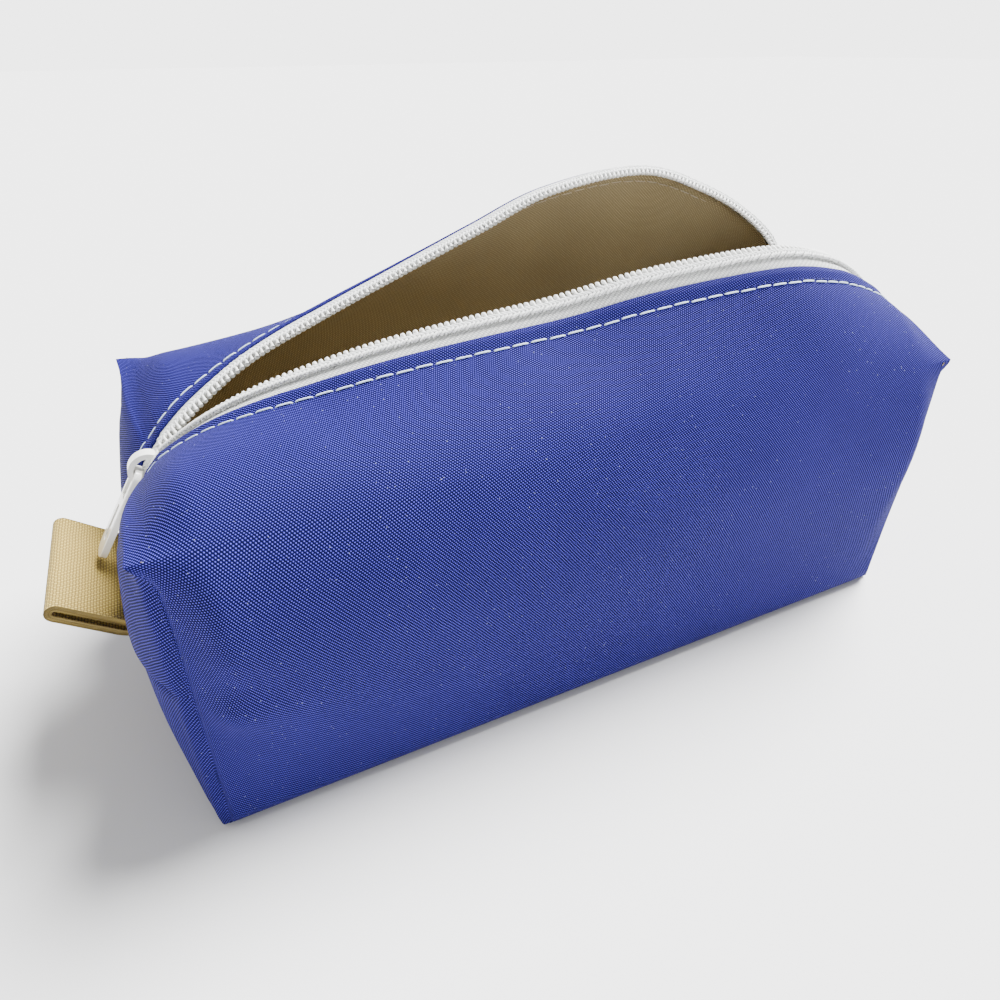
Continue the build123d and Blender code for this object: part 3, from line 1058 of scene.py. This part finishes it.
# ---------------------------------------------------------------- slider, pull and tab


def make_metal():
    """Enamel on the slider, its bail and the pull."""
    for node in ("slider_body", "slider_bail", "zip_pull"):
        piece = frame["nodes"][node]
        piece.data.materials.clear()
        piece.data.materials.append(ENAMEL)


def make_tab():
    """Folded webbing loop in the left end seam."""
    rise = math.radians(38)
    reach = np.array([-math.cos(rise), 0, math.sin(rise)])
    lift = np.array([math.sin(rise), 0, math.cos(rise)])
    width, length = 36 * MM, 20.5 * MM
    half = 1.35 * MM
    ply = 0.75 * MM
    path = []
    for t in np.linspace(1.2 * MM, length - 2 * half, 16):
        path.append((t, -half * min(1, 0.35 + t / (6 * MM))))
    for a in np.linspace(-90, 90, 9)[1:-1]:
        path.append((length - 2 * half + half * math.cos(math.radians(a)), half * math.sin(math.radians(a))))
    for t in np.linspace(length - 2 * half, 1.2 * MM, 16):
        path.append((t, half * min(1, 0.35 + t / (6 * MM))))
    path = np.array(path)
    tangent = unit(np.gradient(path, axis=0))
    normal = np.stack([tangent[:, 1], -tangent[:, 0]], axis=1)
    loop = np.concatenate([path + normal * ply, (path - normal * ply)[::-1]])
    cols = 30
    verts, uvs = [], []
    run = lengths(np.column_stack([loop, np.zeros(len(loop))]))
    for k in range(cols):
        y = (k / (cols - 1) - 0.5) * width
        for p, d in zip(loop, run):
            spot = TAB_ROOT + reach * p[0] + lift * p[1] + np.array([0, y, 0])
            verts.append(spot)
            uvs.append((y / MM, d / MM))
    faces = grid_faces(cols, len(loop), closed=True)
    count = len(loop)
    start = (cols - 1) * count
    for k in range(count // 2 - 1):
        a, b = k, count - 1 - k
        faces.append((a, a + 1, b - 1, b))
        faces.append((start + b, start + b - 1, start + a + 1, start + a))
    tab = mesh_object("webbing_tab", verts, faces, uvs, WEBBING)
    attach(tab, "tab")
    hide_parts("end_tab")


# ---------------------------------------------------------------- studio


def make_camera():
    """Camera at the viewing angle of the reference."""
    yaw, pitch, roll = 0.439, -0.581, -0.009
    ahead = Vector((math.sin(yaw) * math.cos(pitch), math.cos(yaw) * math.cos(pitch), math.sin(pitch)))
    right = Vector((math.cos(yaw), -math.sin(yaw), 0))
    up = right.cross(ahead)
    right, up = right * math.cos(roll) + up * math.sin(roll), up * math.cos(roll) - right * math.sin(roll)
    data = bpy.data.cameras.new("camera")
    data.sensor_width = 36
    data.lens = 25.02
    data.clip_start = 0.01
    camera = bpy.data.objects.new("camera", data)
    turn = Matrix((right, up, -ahead)).transposed().to_4x4()
    place = Vector((-0.0833, -0.1586, 0.1483))
    camera.matrix_world = Matrix.Translation(place) @ turn
    bpy.context.scene.collection.objects.link(camera)
    bpy.context.scene.camera = camera


def make_studio():
    """A wide pale floor, an even pale surround, and soft light from above and to the right."""
    pale, _, _, shader = node_material("floor")
    shader.inputs["Base Color"].default_value = (0.72, 0.72, 0.72, 1)
    shader.inputs["Roughness"].default_value = 0.95
    shader.inputs["Specular IOR Level"].default_value = 0.0
    reach = 7.0
    corners = [(-reach, -reach), (reach, -reach), (reach, reach), (-reach, reach)]
    floor = mesh_object("floor", [(x, y, -0.0002) for x, y in corners], [(0, 1, 2, 3)], None, pale)
    world = bpy.data.worlds.new("world")
    bpy.context.scene.world = world
    world.use_nodes = True
    nodes, links = world.node_tree.nodes, world.node_tree.links
    way = add(nodes, "ShaderNodeTexCoord")
    parts = add(nodes, "ShaderNodeSeparateXYZ")
    links.new(way.outputs["Generated"], parts.inputs[0])
    climb = math_node(nodes, links, "SUBTRACT", parts.outputs["Z"], 0.05)
    level = math_node(nodes, links, "MULTIPLY", climb, 7.0)
    level = math_node(nodes, links, "MAXIMUM", level, 0.0)
    level = math_node(nodes, links, "MINIMUM", level, 1.0)
    around, above = (4.0, 4.0, 4.0), (0.9, 0.9, 0.9)
    tint = mix_colour(nodes, links, level, around, above)
    links.new(tint, nodes["Background"].inputs[0])
    soft_sun("key", (0.58, 0.14, 0.80), 19.5, 36)


def soft_sun(name, toward, strength, spread):
    """A distant light of wide angle, so that its shadows are soft."""
    data = bpy.data.lights.new(name, "SUN")
    data.energy = strength
    data.angle = math.radians(spread)
    light = bpy.data.objects.new(name, data)
    light.rotation_euler = (-Vector(toward)).to_track_quat("-Z", "Y").to_euler()
    bpy.context.scene.collection.objects.link(light)


make_panels()
make_ends()
make_zip()
make_stitching()
make_metal()
make_tab()
make_studio()
make_camera()
